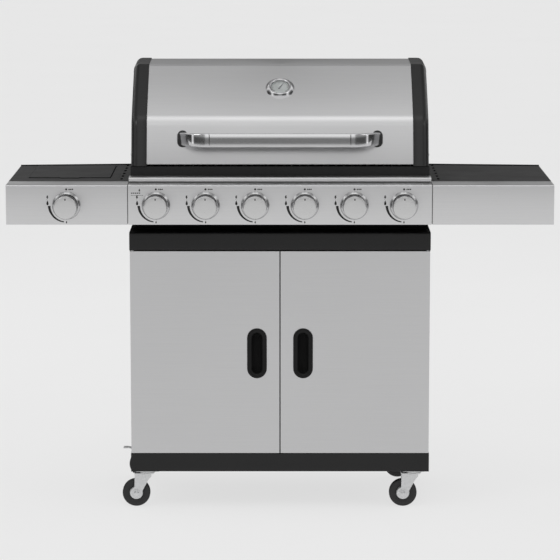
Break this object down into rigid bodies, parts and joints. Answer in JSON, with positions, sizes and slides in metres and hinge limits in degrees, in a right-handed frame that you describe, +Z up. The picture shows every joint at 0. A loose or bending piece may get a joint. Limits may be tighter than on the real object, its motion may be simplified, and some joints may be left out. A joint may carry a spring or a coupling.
{
  "type": "gas barbecue grill",
  "caption": "Gas barbecue grill on a two-door cart with swivel casters: hinged hood with bar handle and thermometer, knobbed control panel, side burner under a flush lid, side shelf.",
  "frame": {"origin": "on the floor, at the middle of the outline in plan", "axes": "+X to the right of a person facing the control panel, +Y to the back, +Z up"},
  "size_m": [1.44, 0.558, 1.1882],
  "materials": {
    "stainless": "brushed, grain across",
    "handle_steel": "satin",
    "black_paint": "satin powder coat",
    "grey_paint": "satin powder coat",
    "firebox_enamel": "satin enamel",
    "cast_iron": "matt enamel",
    "black_plastic": "fine matt",
    "chrome": "bright",
    "knob_metal": "satin cap",
    "brass": "machined",
    "zinc": "zinc plated",
    "burner_steel": "plain",
    "tyre": "matt"
  },
  "bodies": {
    "cart": {"base_pan": "black_paint", "left_side_panel": "stainless", "right_side_panel": "stainless", "rear_panel": "stainless", "top_frame": "black_paint", "firebox": "firebox_enamel", "control_panel": "stainless", "knob_bezels": "chrome", "gas_manifold": "zinc", "burner_valves": "brass", "burner_tubes": "burner_steel", "heat_tents": "burner_steel", "cooking_grates": "cast_iron", "warming_rack": "burner_steel", "hinge_pins": "zinc", "left_shelf": "grey_paint", "left_shelf_fascia": "stainless", "right_shelf": "grey_paint", "right_shelf_fascia": "stainless", "side_burner": "cast_iron", "side_burner_grate": "cast_iron", "caster_plates": "zinc"},
    "hood": {"lid_shell": "stainless", "lid_left_end_cap": "black_paint", "lid_right_end_cap": "black_paint", "lid_handle": "handle_steel", "handle_gaskets": "black_plastic", "thermometer": "chrome"},
    "needle": {"thermometer_needle": "black_paint"},
    "side_lid": {"side_burner_lid": "black_paint"},
    "tray": {"grease_tray": "zinc", "grease_cup": "zinc"},
    "door_left": {"left_door": "stainless", "left_door_pull": "black_plastic"},
    "door_right": {"right_door": "stainless", "right_door_pull": "black_plastic"},
    "spindle_1_carrier": {"spindle_1": "brass"},
    "knob_1_body": {"knob_1": "knob_metal"},
    "spindle_2_carrier": {"spindle_2": "brass"},
    "knob_2_body": {"knob_2": "knob_metal"},
    "spindle_3_carrier": {"spindle_3": "brass"},
    "knob_3_body": {"knob_3": "knob_metal"},
    "spindle_4_carrier": {"spindle_4": "brass"},
    "knob_4_body": {"knob_4": "knob_metal"},
    "spindle_5_carrier": {"spindle_5": "brass"},
    "knob_5_body": {"knob_5": "knob_metal"},
    "spindle_6_carrier": {"spindle_6": "brass"},
    "knob_6_body": {"knob_6": "knob_metal"},
    "spindle_side_carrier": {"spindle_side": "brass"},
    "knob_side_body": {"knob_side": "knob_metal"},
    "fork_fl": {"caster_fork_fl": "zinc"},
    "wheel_fl": {"caster_wheel_fl": "tyre"},
    "fork_fr": {"caster_fork_fr": "zinc"},
    "wheel_fr": {"caster_wheel_fr": "tyre"},
    "fork_rl": {"caster_fork_rl": "zinc"},
    "wheel_rl": {"caster_wheel_rl": "tyre"},
    "pedal_rl": {"brake_pedal_rl": "zinc"},
    "fork_rr": {"caster_fork_rr": "zinc"},
    "wheel_rr": {"caster_wheel_rr": "tyre"},
    "pedal_rr": {"brake_pedal_rr": "zinc"}
  },
  "joints": [
    {"name": "hood_hinge", "type": "hinge", "parent": "cart", "child": "hood", "pos_m": [0, 0.2465, 0.957], "axis": [-1, 0, 0], "range_deg": [0, 88]},
    {"name": "side_lid_hinge", "type": "hinge", "parent": "cart", "child": "side_lid", "pos_m": [-0.561, 0.1945, 0.88], "axis": [-1, 0, 0], "range_deg": [0, 100]},
    {"name": "left_door_hinge", "type": "hinge", "parent": "cart", "child": "door_left", "pos_m": [-0.392, -0.1675, 0.427], "axis": [0, 0, -1], "range_deg": [0, 110]},
    {"name": "right_door_hinge", "type": "hinge", "parent": "cart", "child": "door_right", "pos_m": [0.392, -0.1675, 0.427], "axis": [0, 0, 1], "range_deg": [0, 110]},
    {"name": "tray_slide", "type": "slide", "parent": "cart", "child": "tray", "axis": [0, 1, 0], "range_m": [0, 0.3]},
    {"name": "needle_turn", "type": "hinge", "parent": "hood", "child": "needle", "pos_m": [0, -0.0378, 1.12], "axis": [0, 0.6449, -0.7643], "range_deg": [0, 270], "stiffness_Nm_per_rad": 0.0005},
    {"name": "push_1", "type": "slide", "parent": "cart", "child": "spindle_1_carrier", "axis": [0, 1, 0], "range_m": [0, 0.004], "stiffness_N_per_m": 800},
    {"name": "turn_1", "type": "hinge", "parent": "spindle_1_carrier", "child": "knob_1_body", "pos_m": [-0.32575, -0.2535, 0.831], "axis": [0, -1, 0], "range_deg": [0, 180]},
    {"name": "push_2", "type": "slide", "parent": "cart", "child": "spindle_2_carrier", "axis": [0, 1, 0], "range_m": [0, 0.004], "stiffness_N_per_m": 800},
    {"name": "turn_2", "type": "hinge", "parent": "spindle_2_carrier", "child": "knob_2_body", "pos_m": [-0.19545, -0.2535, 0.831], "axis": [0, -1, 0], "range_deg": [0, 180]},
    {"name": "push_3", "type": "slide", "parent": "cart", "child": "spindle_3_carrier", "axis": [0, 1, 0], "range_m": [0, 0.004], "stiffness_N_per_m": 800},
    {"name": "turn_3", "type": "hinge", "parent": "spindle_3_carrier", "child": "knob_3_body", "pos_m": [-0.06515, -0.2535, 0.831], "axis": [0, -1, 0], "range_deg": [0, 180]},
    {"name": "push_4", "type": "slide", "parent": "cart", "child": "spindle_4_carrier", "axis": [0, 1, 0], "range_m": [0, 0.004], "stiffness_N_per_m": 800},
    {"name": "turn_4", "type": "hinge", "parent": "spindle_4_carrier", "child": "knob_4_body", "pos_m": [0.06515, -0.2535, 0.831], "axis": [0, -1, 0], "range_deg": [0, 180]},
    {"name": "push_5", "type": "slide", "parent": "cart", "child": "spindle_5_carrier", "axis": [0, 1, 0], "range_m": [0, 0.004], "stiffness_N_per_m": 800},
    {"name": "turn_5", "type": "hinge", "parent": "spindle_5_carrier", "child": "knob_5_body", "pos_m": [0.19545, -0.2535, 0.831], "axis": [0, -1, 0], "range_deg": [0, 180]},
    {"name": "push_6", "type": "slide", "parent": "cart", "child": "spindle_6_carrier", "axis": [0, 1, 0], "range_m": [0, 0.004], "stiffness_N_per_m": 800},
    {"name": "turn_6", "type": "hinge", "parent": "spindle_6_carrier", "child": "knob_6_body", "pos_m": [0.32575, -0.2535, 0.831], "axis": [0, -1, 0], "range_deg": [0, 180]},
    {"name": "push_side", "type": "slide", "parent": "cart", "child": "spindle_side_carrier", "axis": [0, 1, 0], "range_m": [0, 0.004], "stiffness_N_per_m": 800},
    {"name": "turn_side", "type": "hinge", "parent": "spindle_side_carrier", "child": "knob_side_body", "pos_m": [-0.561, -0.2535, 0.831], "axis": [0, -1, 0], "range_deg": [0, 180]},
    {"name": "swivel_fl", "type": "hinge", "parent": "cart", "child": "fork_fl", "pos_m": [-0.36, -0.1345, 0.09], "axis": [0, 0, 1], "continuous": true},
    {"name": "roll_fl", "type": "hinge", "parent": "fork_fl", "child": "wheel_fl", "pos_m": [-0.388, -0.1345, 0.0375], "axis": [0, 1, 0], "continuous": true},
    {"name": "swivel_fr", "type": "hinge", "parent": "cart", "child": "fork_fr", "pos_m": [0.36, -0.1345, 0.09], "axis": [0, 0, 1], "continuous": true},
    {"name": "roll_fr", "type": "hinge", "parent": "fork_fr", "child": "wheel_fr", "pos_m": [0.332, -0.1345, 0.0375], "axis": [0, 1, 0], "continuous": true},
    {"name": "swivel_rl", "type": "hinge", "parent": "cart", "child": "fork_rl", "pos_m": [-0.36, 0.2145, 0.09], "axis": [0, 0, 1], "continuous": true},
    {"name": "roll_rl", "type": "hinge", "parent": "fork_rl", "child": "wheel_rl", "pos_m": [-0.388, 0.2145, 0.0375], "axis": [0, 1, 0], "continuous": true},
    {"name": "brake_rl", "type": "hinge", "parent": "fork_rl", "child": "pedal_rl", "pos_m": [-0.386, 0.2145, 0.0845], "axis": [0, -1, 0], "range_deg": [0, 12]},
    {"name": "swivel_rr", "type": "hinge", "parent": "cart", "child": "fork_rr", "pos_m": [0.36, 0.2145, 0.09], "axis": [0, 0, 1], "continuous": true},
    {"name": "roll_rr", "type": "hinge", "parent": "fork_rr", "child": "wheel_rr", "pos_m": [0.332, 0.2145, 0.0375], "axis": [0, 1, 0], "continuous": true},
    {"name": "brake_rr", "type": "hinge", "parent": "fork_rr", "child": "pedal_rr", "pos_m": [0.334, 0.2145, 0.0845], "axis": [0, -1, 0], "range_deg": [0, 12]}
  ]
}
